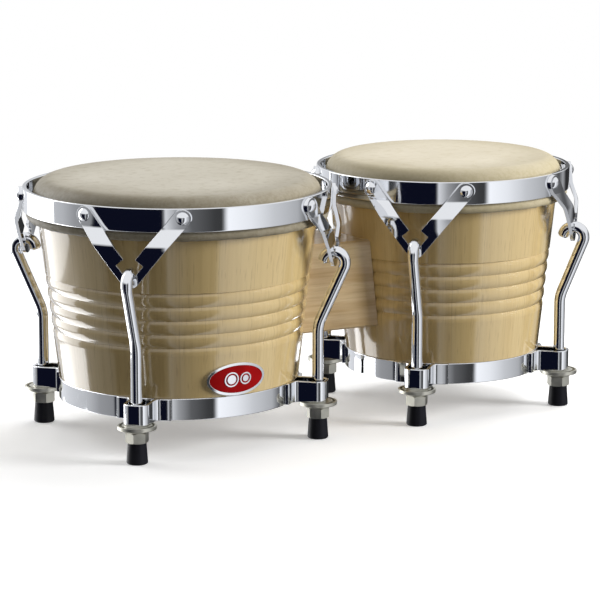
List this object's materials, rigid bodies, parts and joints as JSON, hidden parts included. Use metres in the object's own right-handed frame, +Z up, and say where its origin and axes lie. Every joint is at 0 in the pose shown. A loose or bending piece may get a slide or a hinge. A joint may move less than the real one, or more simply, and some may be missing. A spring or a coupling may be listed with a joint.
{
  "type": "bongo drums",
  "caption": "Pair of bongo drums: tapered wooden shells on a centre block, hide heads held by chromed rims, hooked rods and nuts above rubber feet.",
  "frame": {"origin": "on the floor, under the middle of the pair's outline", "axes": "+X from the large drum to the small one, -Y out of the side with the badge, +Z up"},
  "size_m": [0.3838, 0.2, 0.1695],
  "materials": {
    "shell_wood": "gloss lacquer over pale stave wood with upright grain",
    "block_wood": "satin lacquer over pale wood with level grain",
    "rawhide": "smooth pale rawhide, matt",
    "rawhide_roll": "rough raw hide edge, matt",
    "chrome": "bright chrome plate",
    "zinc_steel": "satin zinc plate",
    "foot_rubber": "matt black rubber",
    "badge_metal": "bright pressed metal",
    "badge_enamel": "gloss red enamel"
  },
  "bodies": {
    "shells": {"centre_block": "block_wood", "block_bolts": "zinc_steel", "block_washers": "zinc_steel", "block_nuts": "zinc_steel", "badge_plate": "badge_metal", "badge_enamel": "badge_enamel", "large_shell": "shell_wood", "large_head": "rawhide", "large_bottom_band": "chrome", "large_brackets": "chrome", "large_cone_washers": "zinc_steel", "small_shell": "shell_wood", "small_head": "rawhide", "small_bottom_band": "chrome", "small_brackets": "chrome", "small_cone_washers": "zinc_steel"},
    "large_tension": {"large_rim": "chrome", "large_rivets": "chrome", "large_skin_roll": "rawhide_roll", "large_flesh_hoop": "zinc_steel", "large_v_hook_front_left": "chrome", "large_rod_front_left": "chrome", "large_foot_front_left": "foot_rubber", "large_v_hook_front_right": "chrome", "large_rod_front_right": "chrome", "large_foot_front_right": "foot_rubber", "large_v_hook_back_right": "chrome", "large_rod_back_right": "chrome", "large_foot_back_right": "foot_rubber", "large_v_hook_back_left": "chrome", "large_rod_back_left": "chrome", "large_foot_back_left": "foot_rubber"},
    "large_nut_front_left": {"large_nut_front_left": "zinc_steel"},
    "large_nut_front_right": {"large_nut_front_right": "zinc_steel"},
    "large_nut_back_right": {"large_nut_back_right": "zinc_steel"},
    "large_nut_back_left": {"large_nut_back_left": "zinc_steel"},
    "small_tension": {"small_rim": "chrome", "small_rivets": "chrome", "small_skin_roll": "rawhide_roll", "small_flesh_hoop": "zinc_steel", "small_v_hook_front_left": "chrome", "small_rod_front_left": "chrome", "small_foot_front_left": "foot_rubber", "small_v_hook_front_right": "chrome", "small_rod_front_right": "chrome", "small_foot_front_right": "foot_rubber", "small_v_hook_back_right": "chrome", "small_rod_back_right": "chrome", "small_foot_back_right": "foot_rubber", "small_v_hook_back_left": "chrome", "small_rod_back_left": "chrome", "small_foot_back_left": "foot_rubber"},
    "small_nut_front_left": {"small_nut_front_left": "zinc_steel"},
    "small_nut_front_right": {"small_nut_front_right": "zinc_steel"},
    "small_nut_back_right": {"small_nut_back_right": "zinc_steel"},
    "small_nut_back_left": {"small_nut_back_left": "zinc_steel"}
  },
  "joints": [
    {"name": "large_tuning", "type": "slide", "parent": "shells", "child": "large_tension", "axis": [0, 0, -1], "range_m": [0, 0.004]},
    {"name": "large_nut_front_left_turn", "type": "hinge", "parent": "shells", "child": "large_nut_front_left", "pos_m": [-0.1538, -0.07003, 0.016], "axis": [0, 0, 1], "range_deg": [0, 1152]},
    {"name": "large_nut_front_right_turn", "type": "hinge", "parent": "shells", "child": "large_nut_front_right", "pos_m": [-0.02182, -0.06196, 0.016], "axis": [0, 0, 1], "range_deg": [0, 1152]},
    {"name": "large_nut_back_right_turn", "type": "hinge", "parent": "shells", "child": "large_nut_back_right", "pos_m": [-0.0299, 0.07003, 0.016], "axis": [0, 0, 1], "range_deg": [0, 1152]},
    {"name": "large_nut_back_left_turn", "type": "hinge", "parent": "shells", "child": "large_nut_back_left", "pos_m": [-0.16188, 0.06196, 0.016], "axis": [0, 0, 1], "range_deg": [0, 1152]},
    {"name": "small_tuning", "type": "slide", "parent": "shells", "child": "small_tension", "axis": [0, 0, -1], "range_m": [0, 0.004]},
    {"name": "small_nut_front_left_turn", "type": "hinge", "parent": "shells", "child": "small_nut_front_left", "pos_m": [0.05255, -0.06082, 0.016], "axis": [0, 0, 1], "range_deg": [0, 1152]},
    {"name": "small_nut_front_right_turn", "type": "hinge", "parent": "shells", "child": "small_nut_front_right", "pos_m": [0.16717, -0.0538, 0.016], "axis": [0, 0, 1], "range_deg": [0, 1152]},
    {"name": "small_nut_back_right_turn", "type": "hinge", "parent": "shells", "child": "small_nut_back_right", "pos_m": [0.16015, 0.06082, 0.016], "axis": [0, 0, 1], "range_deg": [0, 1152]},
    {"name": "small_nut_back_left_turn", "type": "hinge", "parent": "shells", "child": "small_nut_back_left", "pos_m": [0.04553, 0.0538, 0.016], "axis": [0, 0, 1], "range_deg": [0, 1152]}
  ],
  "couplings": [
    {"joint": "large_nut_front_left_turn", "follows": "large_tuning", "rad_per_m": 5026.5},
    {"joint": "large_nut_front_right_turn", "follows": "large_tuning", "rad_per_m": 5026.5},
    {"joint": "large_nut_back_right_turn", "follows": "large_tuning", "rad_per_m": 5026.5},
    {"joint": "large_nut_back_left_turn", "follows": "large_tuning", "rad_per_m": 5026.5},
    {"joint": "small_nut_front_left_turn", "follows": "small_tuning", "rad_per_m": 5026.5},
    {"joint": "small_nut_front_right_turn", "follows": "small_tuning", "rad_per_m": 5026.5},
    {"joint": "small_nut_back_right_turn", "follows": "small_tuning", "rad_per_m": 5026.5},
    {"joint": "small_nut_back_left_turn", "follows": "small_tuning", "rad_per_m": 5026.5}
  ]
}
